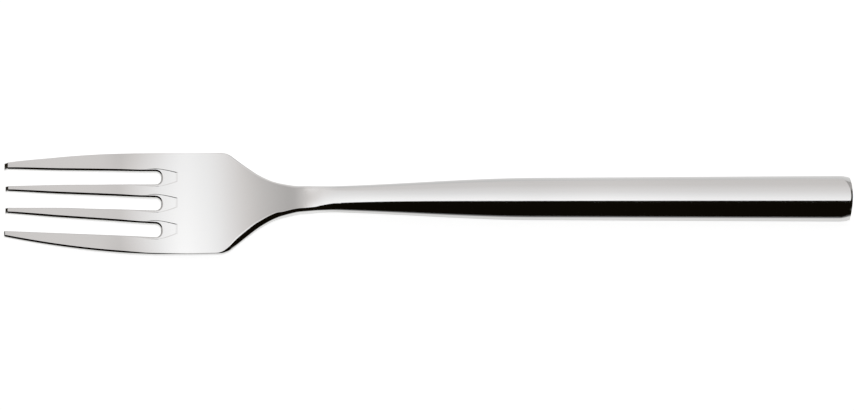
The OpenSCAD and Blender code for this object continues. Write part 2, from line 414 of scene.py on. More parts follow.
def addRamp(tree, share, stops):  # a stop is a place from 0 to 1 and its colour
    node = addNode(tree, "ShaderNodeValToRGB", {"Fac": share})
    elements = node.color_ramp.elements
    for i, (at, colour) in enumerate(stops):
        stop = elements[i] if i < 2 else elements.new(1)  # a new ramp has two
        stop.position = at
        stop.color = (*colour, 1)
    return node.outputs["Color"]


def rampBetween(tree, value, low, high, stops):  # the same for a value and stops from low to high
    places = [((at - low) / (high - low), colour) for at, colour in stops]
    return addRamp(tree, mapRange(tree, value, (low, high)), places)


def greys(stops):
    return [(at, (value, value, value)) for at, value in stops]


def newMaterial(name):
    material = bpy.data.materials.new(name)
    material.use_nodes = True
    return material, material.node_tree, material.node_tree.nodes["Principled BSDF"]


# Finishes

steelLook = {
    "colour": (0.80, 0.80, 0.79),
    # painted reflection brightness: the steel's colour is scaled along the fork, brighter on the head and
    # darker along the handle, in place of light
    "paintedReflection": ((-50, 1), (-35, 1.02), (-29, 1.07), (-26, 1.02), (-22, 0.895), (-16, 0.912), (3, 0.88),
              (18, 0.89), (42, 0.95), (67, 0.92), (104, 0.93)),  # share of that colour along the fork
    "roughness": (0.05, 0.085),
    "streaks": (40, 1600, 1600),  # noise scale per metre, long along the fork
    "streakDetail": 3,
    "streakRange": (0.3, 0.7),    # of the noise, from the smoothest to the roughest
    "streakDepth": 0.0003,
}
cementLook = {
    "tints": ((0.35, (0.50, 0.47, 0.43)), (0.65, (0.68, 0.65, 0.60))),
    "grain": 900,          # noise scale per metre
    "grainDetail": 6,
    "grainDepth": 0.1,
    "grainStrength": 0.3,
    "roughness": 0.9,
}


def polishedSteel():
    material, tree, shader = newMaterial("polishedSteel")
    point = addNode(tree, "ShaderNodeTexCoord").outputs["Object"]
    half = sideForm["length"] / 2 * mm
    paintedReflectionColours = [(at * mm, [value * share for value in steelLook["colour"]]) for at, share in steelLook["paintedReflection"]]
    stretched = addNode(tree, "ShaderNodeMapping", {"Vector": point, "Scale": steelLook["streaks"]})
    streaks = addNode(tree, "ShaderNodeTexNoise", {
        "Vector": stretched.outputs["Vector"],
        "Scale": 1,
        "Detail": steelLook["streakDetail"],
    }).outputs["Fac"]
    bump = addNode(tree, "ShaderNodeBump", {"Height": streaks, "Distance": steelLook["streakDepth"] * mm})
    feed(tree, shader, {
        "Metallic": 1,
        # this base colour carries the painted reflection brightness that changes along the fork
        "Base Color": rampBetween(tree, axesOf(tree, point)["X"], -half, half, paintedReflectionColours),
        "Roughness": mapRange(tree, streaks, steelLook["streakRange"], steelLook["roughness"]),
        "Normal": bump.outputs["Normal"],
    })
    return material


def setCement():
    material, tree, shader = newMaterial("setCement")
    grain = addNode(tree, "ShaderNodeTexNoise", {
        "Vector": addNode(tree, "ShaderNodeTexCoord").outputs["Object"],
        "Scale": cementLook["grain"],
        "Detail": cementLook["grainDetail"],
    }).outputs["Fac"]
    bump = addNode(tree, "ShaderNodeBump", {
        "Height": grain,
        "Strength": cementLook["grainStrength"],
        "Distance": cementLook["grainDepth"] * mm,
    })
    feed(tree, shader, {
        "Base Color": addRamp(tree, grain, cementLook["tints"]),
        "Roughness": cementLook["roughness"],
        "Normal": bump.outputs["Normal"],
    })
    return material


steel = polishedSteel()
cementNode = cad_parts["handle_core"]
cementNode.data.materials.clear()
cementNode.data.materials.append(setCement())
print("finishes ready")

# Fork head: tines, bowl, shoulders and neck, with the spigot and tang that go into the handle

headMake = {
    "roundSteps": 6,       # round an edge
    "tineStep": 1.2,       # row spacing along the tines
    "rootStep": 0.35,      # near the slots' roots
    "bowlStep": 0.6,       # in the bowl
    "turnStep": 0.3,       # and where the outline turns
    "tineColumns": 4,
    "rootColumns": 14,     # round the root of a slot
    "flankColumns": 2,
    "bowlAt": 46,          # from here on the head is one closed tube
    "evenTop": 0.38,       # share of the neck's outline that the upper columns end up with
    "arcSteps": 24,        # of a neck section's fine outline, for each step round an edge
    "leastDome": 1e-5,     # radians, because a flat top has no radius
    "neckProbe": 0.02,     # how far to either side the neck's steepness is measured
}
runOut = {
    "lead": 4,             # the ground run-out starts this far before a slot's root
    "length": 4.2,         # and ends this far behind it
    "depth": 0.1,          # at the root
    "farDepth": 0.05,      # at its far end
    "farWidth": 2.2,
    "wallRun": 1,          # width of a side wall for its depth
    "endRun": 0.5,         # length of its end wall
    "curve": 1.5,          # its sides leave the slot in line with the slot's edges
    "shift": (0.15, 0.15, 0.0),  # each one is ground this far off its slot's middle, from -Y on
}
tangForm = {
    "spigot": 8,
    "length": 46,
    "step": 0.4,           # the tang's sides stand in from the spigot
    "thickness": 2,
    "notchPitch": 7,
    "notchDepth": 0.5,
}

innerTines = slotCount - 1
slotTip = (2 * (headHalf(0) - slotForm["outerTip"]) - innerTines * slotForm["tineTip"]) / slotCount
slotRoot = (planForm["width"] - 2 * slotForm["outerRoot"] - innerTines * slotForm["tineRoot"]) / slotCount
slotStartX = tipX - slotForm["lead"]
rootX = tipX + slotForm["length"]
roundX = rootX - slotForm["rootRadius"]
roundAt = alongAtX(roundX)
rootAt = alongAtX(rootX)
wedgeAt = rootAt - runOut["lead"]
farAt = rootAt + runOut["length"]
bowlAt = headMake["bowlAt"]
rootRound = slotRound(roundAt, 1)
firstRow = max(slotForm["tipBevel"])
edgeAngles = between(0, quarter, headMake["roundSteps"])
tineRows = (spaced(firstRow, wedgeAt, headMake["tineStep"])
            + spaced(wedgeAt, roundAt, headMake["rootStep"])[1:])
rootRows = spaced(roundAt, farAt, headMake["rootStep"])
bowlRows = spaced(farAt, bowlAt, headMake["bowlStep"])
frontRows = tineRows + rootRows[1:] + bowlRows[1:]


def slotMiddle(k, t):
    return (k - (slotCount - 1) / 2) * mix(slotTip + slotForm["tineTip"], slotRoot + slotForm["tineRoot"], t)


def slotEdge(k, side, s):  # edge of slot k, on its lower (-1) or higher (1) side
    t = min(1, (spinePoint(s)[0] - slotStartX) / (roundX - slotStartX))
    fuller = stepped(slotForm["fuller"], s)
    if side < 0:
        fuller = stepped(slotForm["fullerBack"], s) * slotForm["backShare"][k]
    return slotMiddle(k, t) + side * (mix(slotTip, slotRoot, t) / 2 - fuller)


def tineEdge(j, side, s):
    if j == 0 and side < 0:
        return -headHalf(s) - stepped(slotForm["fullerOuter"], s)
    if j == lastTine and side > 0:
        return headHalf(s) + stepped(slotForm["fullerOuterBack"], s)
    return slotEdge(j - 1, 1, s) if side < 0 else slotEdge(j, -1, s)


def tipOf(j):  # where a tine begins and how far its upper side is cut back
    return -slotForm["outerReach"] if j in (0, lastTine) else 0, slotForm["tipBevel"][j]


def bevelled(s, y, side, tip):
    return height(s, y, side) - (max(0, tip[1] - (s - tip[0])) if side > 0 else 0)


def bevelNormal(s, y):
    forward, up = spineAxes(s)
    return (up - forward).normalized()


def topNormal(s, y):
    return faceNormal(s, y, 1)


def drop(s):  # how far a run-out lies below the upper side, up to the slot's root
    return runOut["depth"] * smooth(wedgeAt, roundAt, s)


def crownEdge(k, side, s):  # upper rim of a run-out's side wall, and of the tine beside it
    shift = max(0, side * runOut["shift"][k]) * smooth(wedgeAt, roundAt, s)
    return slotEdge(k, side, s) + side * (slotRound(s, side) + shift + runOut["wallRun"] * drop(s))


def footEdge(k, side, s):
    return crownEdge(k, side, s) - side * runOut["wallRun"] * drop(s)


def tineFlat(j, side, s):  # the flat between the rounds of tine j's edges, above (1) or below (-1)
    low = tineEdge(j, -1, s) + (outerRound(s, -1) if j == 0 else slotRound(s, 1))
    high = tineEdge(j, 1, s) - (outerRound(s, 1) if j == lastTine else slotRound(s, -1))
    if side > 0:
        low = low if j == 0 else crownEdge(j - 1, 1, s)
        high = high if j == lastTine else crownEdge(j, -1, s)
    return between(low, high, headMake["tineColumns"])


def addSurface(skin, rows, side):  # rows of (along, sideways) on the upper side or the underside
    points = [[place(s, y, height(s, y, side)) for s, y in row] for row in rows]
    normals = [[faceNormal(s, y, side) for s, y in row] for row in rows]
    addPatch(skin, points, normals)


noTip = (-1, 0)


# A path's steps hold: along, sideways, inward direction, drop of the upper side, radius of the round
def addEdge(skin, path, capNormal, tip=noTip):
    rows, rowNormals = [], []
    for i, (s, y, inward, lower, radius) in enumerate(path):
        before, after = path[max(i - 1, 0)], path[min(i + 1, len(path) - 1)]
        square = Vector((before[1] - after[1], after[0] - before[0])).normalized()
        if square.dot(Vector(inward)) > 0:
            square.negate()
        outward = spineAxes(s)[0] * square[0] + Vector((0, square[1], 0))
        points, normals = [], []
        for side, cap in ((1, capNormal(s, y)), (-1, faceNormal(s, y, -1))):
            for a in (edgeAngles[::-1] if side > 0 else edgeAngles):
                inset = radius * (1 - cos(a))
                at, across = s + inward[0] * inset, y + inward[1] * inset
                below = radius * (1 - sin(a)) + (lower if side > 0 else 0)
                points.append(place(at, across, bevelled(at, across, side, tip) - side * below))
                normals.append((outward * cos(a) + cap * sin(a)).normalized())
        rows.append(points)
        rowNormals.append(normals)
    addPatch(skin, rows, rowNormals)
    return rows


def addTines(skin):
    forward = spineAxes(0)[0]
    for j in range(lastTine + 1):
        tip = tipOf(j)
        tipRows = [tip[0], tip[0] + tip[1]]
        early = tipRows[1] < firstRow
        rows = tipRows[1:] + frontRows if early else frontRows
        bevel = [[place(s, y, bevelled(s, y, 1, tip)) for y in tineFlat(j, 1, s)] for s in tipRows]
        addFlat(skin, bevel, bevelNormal(0, 0))
        addSurface(skin, [[(s, y) for y in tineFlat(j, 1, s)] for s in rows], 1)
        addSurface(skin, [[(s, y) for y in tineFlat(j, -1, s)] for s in tipRows[:1] + rows], -1)
        rims = []
        for side in (-1, 1):
            outside = j == 0 and side < 0 or j == lastTine and side > 0

            def path(places):
                rounds = [outerRound(s, side) if outside else slotRound(s, -side) for s in places]
                return [(s, tineEdge(j, side, s), (0, -side), 0, radius) for s, radius in zip(places, rounds)]

            rims.append(addEdge(skin, path(tipRows), bevelNormal, tip)[0])
            if outside:
                addEdge(skin, path(rows), topNormal)
            elif early:
                addEdge(skin, path([tipRows[1], firstRow]), topNormal)
        under = [place(tip[0], y, height(tip[0], y, -1)) for y in tineFlat(j, -1, tip[0])]
        addFlat(skin, [bevel[0], under], -forward)
        for rim in rims:
            addFace(skin, rim, [-forward] * len(rim))


def rootArc(k, radius):  # plan of slot k's root from its lower to its higher side, drawn out by a radius
    corner = slotForm["rootRadius"]
    half = headMake["rootColumns"] // 2
    arc = []
    for side in (-1, 1):
        middle = slotEdge(k, side, roundAt) - side * corner
        for i in range(half + 1):
            a = quarter * (i / half if side < 0 else 1 - i / half)
            out = (sin(a), side * cos(a))
            arc.append((roundAt + out[0] * (corner + radius), middle + out[1] * (corner + radius), out))
    return arc


def addSlot(skin, k):  # walls and rounded edges, down one side, round the root and back
    path = [(s, slotEdge(k, -1, s), (0, -1), drop(s), slotRound(s, -1)) for s in tineRows[:-1]]
    path += [(s, y, out, drop(roundAt), rootRound) for s, y, out in rootArc(k, 0)]
    path += [(s, slotEdge(k, 1, s), (0, 1), drop(s), slotRound(s, 1)) for s in reversed(tineRows[:-1])]
    addEdge(skin, path, topNormal)


def runOutStarts(k):  # where the floor of a run-out begins, round the slot's root
    starts = [(s, y) for s, y, out in rootArc(k, rootRound)]
    for side in (-1, 1):
        if side * runOut["shift"][k] > 0:
            foot = (roundAt, footEdge(k, side, roundAt))
            starts = starts + [foot] if side > 0 else [foot] + starts
    return starts


def farColumns(k, extra):
    middle = slotMiddle(k, 1) + runOut["shift"][k]
    half = runOut["farWidth"] / 2 + extra
    return between(middle - half, middle + half, len(runOutStarts(k)) - 1)


def bowlColumns(k):  # columns behind a run-out, from tine to tine
    ends = farColumns(k, runOut["wallRun"] * runOut["farDepth"])
    flank = headMake["flankColumns"]
    low = between(crownEdge(k, -1, farAt), ends[0], flank)
    high = between(ends[-1], crownEdge(k, 1, farAt), flank)
    return low[:-1] + ends + high[1:]


def ground(s, y, depth):  # a point this far below the upper side
    return place(s, y, height(s, y, 1) - depth)


def addRunOut(skin, k):
    starts = runOutStarts(k)
    footEnd = farAt - runOut["endRun"]
    floorEnds = farColumns(k, 0)
    crownEnds = farColumns(k, runOut["wallRun"] * runOut["farDepth"])
    shares = between(0, 1, len(rootRows) - 1)
    wedge = [s for s in tineRows if s > wedgeAt - weld]

    def wallFoot(end, s):  # foot of a side wall, at the first (0) or last (-1) column
        return mix(starts[end][1], floorEnds[end], ((s - roundAt) / (footEnd - roundAt)) ** runOut["curve"])

    def floorPlace(i, t):  # columns keep beside the nearer wall, so that none crosses another
        end = 0 if 2 * i < len(starts) else -1
        s, y = starts[i]
        at = mix(s, footEnd, t)
        return at, wallFoot(end, at) + mix(y - wallFoot(end, s), floorEnds[i] - floorEnds[end], t)

    floor, floorNormals = [], []
    for t in shares:
        row = [floorPlace(i, t) for i in range(len(starts))]
        depth = mix(runOut["depth"], runOut["farDepth"], t)
        floor.append([ground(s, y, depth) for s, y in row])
        floorNormals.append([faceNormal(s, y, 1) for s, y in row])
    addPatch(skin, floor, floorNormals)
    for side, end in ((-1, 0), (1, -1)):
        foot = [ground(s, footEdge(k, side, s), drop(s)) for s in wedge]
        lip = [ground(s, crownEdge(k, side, s), 0) for s in wedge]
        if side * runOut["shift"][k] > 0:  # a strip of floor beside the slot
            rim = [ground(s, slotEdge(k, side, s) + side * slotRound(s, side), drop(s)) for s in wedge]
            addCreased(skin, list(zip(rim, foot)), Vector((0, 0, 1)))
        lipBehind, flank = [], []
        for t, s in zip(shares, rootRows):
            y = mix(crownEdge(k, side, roundAt), crownEnds[end], t ** runOut["curve"])
            lipBehind.append(ground(s, y, 0))
            flank.append([(s, v) for v in between(y, crownEdge(k, side, s), headMake["flankColumns"])])
        foot += [row[end] for row in floor[1:]]
        lip += lipBehind[1:]
        addCreased(skin, list(zip(foot, lip)), Vector((0, -side, 1)))
        addSurface(skin, flank, 1)
    addCreased(skin, [floor[-1], [ground(farAt, y, 0) for y in crownEnds]], Vector((-1, 0, 1)))
    addSurface(skin, [[(s, y) for y in bowlColumns(k)] for s in bowlRows], 1)


def underEnds(k):  # columns of the underside behind a slot, where the closed tube begins
    low, high = slotEdge(k, -1, bowlAt) - rootRound, slotEdge(k, 1, bowlAt) + rootRound
    return between(low, high, len(rootArc(k, 0)) - 1)


def addUnderside(skin, k):  # behind a slot
    columns = list(zip(rootArc(k, rootRound), underEnds(k)))
    rows = []
    for at in rootRows + bowlRows[1:]:
        t = (at - roundAt) / (bowlAt - roundAt)
        rows.append([(mix(s, bowlAt, t), mix(y, end, t)) for (s, y, out), end in columns])
    addSurface(skin, rows, -1)


headSkin = newSkin()
addTines(headSkin)
for k in range(slotCount):
    addSlot(headSkin, k)
    addRunOut(headSkin, k)
    addUnderside(headSkin, k)
print("front of the head", len(headSkin["faces"]), "faces")


# From the bowl on, each section is a rounded rectangle that grows into the handle's full oval
def upperColumns():
    ys = tineFlat(0, 1, bowlAt)
    for k in range(slotCount):
        ys += bowlColumns(k)[1:] + tineFlat(k + 1, 1, bowlAt)[1:]
    return ys


def underColumns():
    ys = tineFlat(0, -1, bowlAt)
    for k in range(slotCount):
        ys += underEnds(k)[1:] + tineFlat(k + 1, -1, bowlAt)[1:]
    return ys[::-1]


def flatHalf(s, y):  # half width of the flat upper side, on the side of y
    return headHalf(s) - outerRound(s, y)


topShares = [y / flatHalf(bowlAt, y) for y in upperColumns()]
underShares = [y / flatHalf(bowlAt, y) for y in underColumns()]


# How far to the side and below the top a section's normal has this direction
def domedPoint(across, upward, flat, dome, wide, tall):
    radius = flat / sin(dome)
    size = hypot(wide * across, tall * upward)
    below = radius * (1 - max(upward, cos(dome))) + tall * (1 - tall * upward / size)
    return min(flat, radius * across) + wide ** 2 * across / size, below


def mouthPoint(across, upward, w, t, flat):
    dome = radians(gripForm["dome"])
    tall = t - flat * (1 - cos(dome)) / sin(dome)
    y, below = domedPoint(across, upward, flat, dome, w - flat, tall)
    return y, t - below


# Fine outline of half a section from its top middle to its bottom middle, with normals, and its lengths
def sectionLine(s, grown, facing):
    w, t, wide = headHalf(s), headThick(s), outerRound(s, facing)
    domed = smooth(edgeForm["domeFrom"], edgeForm["domeTo"], s)
    dome = radians(gripForm["dome"]) * domed + headMake["leastDome"]
    line = [(0, t, 0, 1)]
    for share in between(1, 0, headMake["arcSteps"] * headMake["roundSteps"]):
        across, upward = cos(quarter * share), sin(quarter * share)
        y, below = domedPoint(across, upward, w - wide, dome, wide, roundHeight(s, wide))
        fullY, fullN = mouthPoint(across, upward, w, t, flatTop(0))
        line.append((mix(y, fullY, grown), mix(t - below, fullN, grown), across, upward))
    line += [(y, -n, ny, -nn) for y, n, ny, nn in reversed(line)]
    lengths = [0]
    for a, b in zip(line, line[1:]):
        lengths.append(lengths[-1] + hypot(b[0] - a[0], b[1] - a[1]))
    return line, lengths


def outlinePoint(line, lengths, share):  # share of the half outline, negative on -Y
    target = min(1, abs(share)) * lengths[-1]
    low, high = 0, len(lengths) - 1
    while high - low > 1:
        middle = (low + high) // 2
        low, high = (middle, high) if lengths[middle] <= target else (low, middle)
    span = lengths[high] - lengths[low]
    t = (target - lengths[low]) / span if span > 0 else 0
    y, n, ny, nn = [mix(a, b, t) for a, b in zip(line[low], line[high])]
    side = -1 if share < 0 else 1
    return side * y, n, side * ny, nn


def plainRing(s):
    w, t = headHalf(s), headThick(s)
    lean = 2 * crown(s) / halfHead ** 2
    ring = []
    for share in topShares:
        y = share * flatHalf(s, share)
        size = hypot(lean * y, 1)
        ring.append((y, height(s, y, 1), lean * y / size, 1 / size))
    edges = []
    for facing in (1, -1):
        wide = outerRound(s, facing)
        tall = roundHeight(s, wide)
        edges.append([])
        for side in (1, -1):
            for a in (edgeAngles[-2::-1] if side > 0 else edgeAngles[:-1]):
                across, upward = cos(a), sin(a)
                size = hypot(wide * across, tall * upward)
                y = w - wide + wide ** 2 * across / size
                n = height(s, y, side) - side * tall * (1 - tall * upward / size)
                edges[-1].append((facing * y, n, facing * across, side * upward))
    ring += edges[0]
    ring += [(share * flatHalf(s, share), -t, 0, -1) for share in underShares]
    ring += reversed(edges[1])
    return ring + ring[:1]


def headRing(s):
    if s <= edgeForm["domeFrom"]:
        return plainRing(s)
    grown = smooth(edgeForm["ovalFrom"], edgeForm["ovalTo"], s)
    lines = {facing: sectionLine(s, grown, facing) for facing in (1, -1)}
    evenTop = headMake["evenTop"]

    def sideOf(share):
        return 1 if share > 0 else -1

    def point(share):
        return outlinePoint(*lines[sideOf(share)], share)

    def placed(share, even):  # share of the half outline, as in the bowl and then evenly
        return mix(share * flatHalf(s, share) / lines[sideOf(share)][1][-1], even, grown)

    ring = []
    for i, share in enumerate(topShares):
        ring.append(point(placed(share, evenTop * (2 * i / (len(topShares) - 1) - 1))))
    edges = []
    for facing in (1, -1):
        lengths = lines[facing][1]
        roundEnds = [1 + i * headMake["arcSteps"] for i in range(1, headMake["roundSteps"] + 1)]
        corner = [lengths[i] / lengths[-1] for i in roundEnds]
        corner += [1 - share for share in reversed(corner)]
        edges.append([])
        for i, share in enumerate(corner):
            even = mix(evenTop, 1 - evenTop, (i + 1) / (len(corner) + 1))
            edges[-1].append(point(facing * mix(share, even, grown)))
    ring += edges[0]
    for i, share in enumerate(underShares):
        share = placed(share, evenTop * (1 - 2 * i / (len(underShares) - 1)))
        ring.append(point(sideOf(share) - share))
    ring += reversed(edges[1])
    return ring + ring[:1]


def addNeck(skin):
    step = headMake["neckProbe"]
    shoulder = planForm["shoulderAt"]
    places = (spaced(bowlAt, shoulder, headMake["bowlStep"])
              + spaced(shoulder, jointAt, headMake["turnStep"])[1:])
    rows, rowNormals = [], []
    for s in places:
        back, ahead = s - step, min(s + step, jointAt)
        up = spineAxes(s)[1]
        points, normals = [], []
        for before, here, after in zip(headRing(back), headRing(s), headRing(ahead)):
            outward = up * here[3] + Vector((0, here[2], 0))
            tangent = Vector((0, here[3], 0)) - up * here[2]
            along = place(ahead, *after[:2]) - place(back, *before[:2])
            points.append(place(s, *here[:2]))
            normals.append(turnedTo(outward, along.cross(tangent).normalized()))
        rows.append(points)
        rowNormals.append(normals)
    addPatch(skin, rows, rowNormals)


def onHandle(x, y, z):  # a point on the handle's own axes, from its mouth on
    return Vector((mouthX + x * cos(handleSlope) + z * sin(handleSlope), y,
                   mouthZ - x * sin(handleSlope) + z * cos(handleSlope))) * mm


handleAxis = (onHandle(1, 0, 0) - onHandle(0, 0, 0)).normalized()
handleUp = handleAxis.cross(Vector((0, 1, 0)))
cavityOval = (gripForm["oval"] * halfButt - gripForm["wall"]) / (halfButt - gripForm["wall"])


def cavityRing(x, half, turns):  # an oval that fits inside the handle
    return [onHandle(x, half * cos(a), half * cavityOval * sin(a)) for a in turns]


def cavityNormals(turns):
    return [(Vector((0, cos(a), 0)) + handleUp * (sin(a) / cavityOval)).normalized() for a in turns]


def addTang(skin):
    mouth = gripHalf(jointAt)
    spigot = tangForm["spigot"]
    spigotHalf = mouth - gripForm["wall"] - gripForm["fitGap"]
    tangHalf = spigotHalf - tangForm["step"]
    neckEnd = headRing(jointAt)
    turns = [atan2(n / (gripForm["oval"] * mouth), y / mouth) for y, n, ny, nn in neckEnd]

    def slab(x, limit):  # the oval bar milled flat above and below, and notched at its sides
        ring = []
        for a in turns:
            y, z = tangHalf * cos(a), tangHalf * cavityOval * sin(a)
            keep = min(1, tangForm["thickness"] / 2 / max(abs(z), weld))
            keep = min(keep, limit / max(abs(y), weld))
            ring.append(onHandle(x, y * keep, z * keep))
        return ring

    start, end = cavityRing(0, spigotHalf, turns), cavityRing(spigot, spigotHalf, turns)
    addFlat(skin, [[place(jointAt, y, n) for y, n, ny, nn in neckEnd], start], handleAxis)
    addPatch(skin, [start, end], [cavityNormals(turns)] * 2)
    rings = [slab(spigot, tangHalf)]
    depth = tangForm["notchDepth"]
    for k in range(int(tangForm["length"] / tangForm["notchPitch"])):
        middle = spigot + (k + 0.5) * tangForm["notchPitch"]
        rings += [slab(middle + x, tangHalf - inset) for x, inset in ((-depth, 0), (0, depth), (depth, 0))]
    rings.append(slab(spigot + tangForm["length"], tangHalf))
    addFlat(skin, [end, rings[0]], handleAxis)
    for a, b in zip(rings, rings[1:]):
        for i in range(len(a) - 1):
            quad = [a[i], a[i + 1], b[i + 1], b[i]]
            centre = sum(quad, Vector((0, 0, 0))) / len(quad) - onHandle(0, 0, 0)
            outward = centre - handleAxis * centre.dot(handleAxis)
            facing = turnedTo(outward, (quad[1] - quad[0]).cross(quad[3] - quad[0]).normalized())
            addFace(skin, quad, [facing] * len(quad))
    addFace(skin, rings[-1][:-1], [handleAxis] * (len(turns) - 1))


addNeck(headSkin)
addTang(headSkin)
seat(finishPiece(headSkin, "forkHead", steel), "fork_head")

# Handle shells: half ovals that swell from the mouth, made by one node tree

shellMake = {
    "capLength": 4,        # the end cap takes this much of the handle
    "rows": 160,
    "columns": 49,
    "crease": 30,          # a sharper edge is a crease
    "onSurface": 0.01,     # a vertex this near to the handle's form is on its outside
    "sameSide": 0.7,       # and so is a face that looks this much its way, from 0 to 1
}
shellLength = handleLength - shellMake["capLength"]


def shellInputs(startAngle):  # of the node tree; a shell goes half round from its start angle
    return {
        "Shell Length": shellLength * mm,
        "Handle Length": handleLength * mm,
        "Butt Width": gripForm["buttWidth"] * mm,
        "Waist": waist * mm,
        "Taper": gripForm["taper"],
        "Neck Length": planForm["neckLength"] * mm,
        "Swell Length": gripForm["swell"] * mm,
        "Oval": gripForm["oval"],
        "Flat Top": gripForm["flatTop"] * mm,
        "Flat Fade": gripForm["flatFade"] * mm,
        "Dome": radians(gripForm["dome"]),
        "Start Angle": startAngle,
        "Slope": handleSlope,
        "Mouth": (mouthX * mm, 0, mouthZ * mm),
        "Rows": shellMake["rows"],
        "Columns": shellMake["columns"],
        "Finish": steel,
    }


def shellTree(inputs):
    tree = bpy.data.node_groups.new("handleShell", "GeometryNodeTree")
    kinds = {float: "Float", int: "Int", tuple: "Vector", bpy.types.Material: "Material"}
    sockets = {}
    for name, value in inputs.items():
        kind = "NodeSocket" + kinds[type(value)]
        sockets[name] = tree.interface.new_socket(name, in_out="INPUT", socket_type=kind).identifier
    tree.interface.new_socket("Shell", in_out="OUTPUT", socket_type="NodeSocketGeometry")
    given = addNode(tree, "NodeGroupInput").outputs

    def times(a, b):
        return maths(tree, "MULTIPLY", a, b)

    def over(a, b):
        return maths(tree, "DIVIDE", a, b)

    def plus(a, b):
        return maths(tree, "ADD", a, b)

    def minus(a, b):
        return maths(tree, "SUBTRACT", a, b)

    def square(a):
        return times(a, a)

    grid = addNode(tree, "GeometryNodeMeshGrid", {  # 1 metre each way, round its middle
        "Vertices X": given["Rows"],
        "Vertices Y": given["Columns"],
    })
    spread = axesOf(tree, addNode(tree, "GeometryNodeInputPosition").outputs[0])
    along = times(plus(spread["X"], 0.5), given["Shell Length"])
    turn = plus(times(minus(0.5, spread["Y"]), pi), given["Start Angle"])
    fromNeck = plus(along, given["Neck Length"])
    swelling = mapRange(tree, fromNeck, (0, given["Swell Length"]), kind="SMOOTHSTEP")
    narrowing = times(times(given["Taper"], 0.5), minus(given["Handle Length"], along))
    slim = times(given["Waist"], minus(1, swelling))
    half = minus(minus(times(given["Butt Width"], 0.5), narrowing), slim)
    flat = times(given["Flat Top"], maths(tree, "EXPONENT", over(times(along, -1), given["Flat Fade"])))
    domeEdge = maths(tree, "COSINE", given["Dome"])
    domeRadius = over(flat, maths(tree, "SINE", given["Dome"]))
    wide = minus(half, flat)
    tall = minus(times(half, given["Oval"]), times(domeRadius, minus(1, domeEdge)))
    across = maths(tree, "COSINE", turn)
    upward = maths(tree, "SINE", turn)
    size = maths(tree, "SQRT", plus(square(times(wide, across)), square(times(tall, upward))))
    middle = maths(tree, "MINIMUM", times(domeRadius, across), flat)
    middle = maths(tree, "MAXIMUM", middle, times(flat, -1))
    rise = times(domeRadius, minus(maths(tree, "ABSOLUTE", upward), domeEdge))
    rise = times(maths(tree, "SIGN", upward), maths(tree, "MAXIMUM", rise, 0))
    point = addNode(tree, "ShaderNodeCombineXYZ", {
        "X": along,
        "Y": plus(middle, over(times(square(wide), across), size)),
        "Z": plus(rise, over(times(square(tall), upward), size)),
    })
    tilt = addNode(tree, "ShaderNodeCombineXYZ", {"Y": given["Slope"]})
    shape = grid.outputs["Mesh"]
    for kind, stepInputs in (
        ("StoreNamedAttribute", {"Name": "turn", "Value": turn}),
        ("SetPosition", {"Position": point.outputs[0]}),
        ("Transform", {"Translation": given["Mouth"], "Rotation": tilt.outputs[0]}),
        ("SetShadeSmooth", {}),
        ("RealizeInstances", {}),
        ("SetMaterial", {"Material": given["Finish"]}),
    ):
        shape = addNode(tree, "GeometryNode" + kind, {"Geometry": shape, **stepInputs}).outputs[0]
    addNode(tree, "NodeGroupOutput", {0: shape})
    return tree, sockets


def shellPoint(x, turn):  # on the handle's own axes, where its section's normal has this direction
    half = gripHalf(jointAt + x)
    across, upward = cos(turn), sin(turn)
    y, z = mouthPoint(abs(across), abs(upward), half, gripForm["oval"] * half, flatTop(x))
    return Vector((x, copysign(y, across), copysign(z, upward)))


def shellNormal(x, turn):
    flatNormal = Vector((0, cos(turn), sin(turn)))
    growth = (shellPoint(x + probe, turn) - shellPoint(x - probe, turn)).dot(flatNormal) / (2 * probe)
    return (Vector((0, flatNormal.y, 0)) + handleUp * flatNormal.z - handleAxis * growth).normalized()


def setShellNormals(mesh):  # the outside takes the true normals of the handle's form
    mesh.set_sharp_from_angle(angle=radians(shellMake["crease"]))
    normals = [Vector(n.vector) for n in mesh.corner_normals]
    turns = [value.value for value in mesh.attributes["turn"].data]
    mesh.attributes.remove(mesh.attributes["turn"])
    outside = {}
    for vertex, turn in zip(mesh.vertices, turns):
        x = (vertex.co / mm - Vector((mouthX, 0, mouthZ))).dot(handleAxis)
        if (onHandle(*shellPoint(x, turn)) - vertex.co).length < shellMake["onSurface"] * mm:
            outside[vertex.index] = shellNormal(x, turn)
    for face in mesh.polygons:
        for loop in face.loop_indices:
            normal = outside.get(mesh.loops[loop].vertex_index)
            if normal and normal.dot(face.normal) > shellMake["sameSide"]:
                normals[loop] = normal
    mesh.normals_split_custom_set(normals)


def makeShell(name, inputs, tree, sockets):
    piece = bpy.data.objects.new(name, bpy.data.meshes.new(name))
    scene.collection.objects.link(piece)
    grow = piece.modifiers.new("shell", "NODES")
    grow.node_group = tree
    for key, value in inputs.items():
        grow[sockets[key]] = value
    thicken = piece.modifiers.new("wall", "SOLIDIFY")
    thicken.thickness = gripForm["wall"] * mm
    thicken.offset = -1
    evaluated = piece.evaluated_get(bpy.context.evaluated_depsgraph_get())
    mesh = bpy.data.meshes.new_from_object(evaluated)
    piece.modifiers.clear()
    piece.data = mesh
    setShellNormals(mesh)
    return piece


tree, sockets = shellTree(shellInputs(0.0))
for name, node, startAngle in (("upperHandleShell", "upper_handle_shell", 0.0),
                               ("lowerHandleShell", "lower_handle_shell", pi)):
    seat(makeShell(name, shellInputs(startAngle), tree, sockets), node)

# End cap: closes and rounds off the butt, with a spigot between the shells

capForm = {
    "rimLength": (0.42, 2.7),  # above and below, where it is a chamfer, then at the rounded sides
    "rimDepth": (0.43, 0.4),
    "reach": 0.25,             # the end face stands out this far in the middle
    "bulge": 0.6,              # and curves back by this much at its sides
    "spigot": 4,
    "rimSteps": 16,
    "faceSteps": 10,
    "columns": 96,
    "probe": 0.001,            # share or turn to either side, for measuring the normals
}


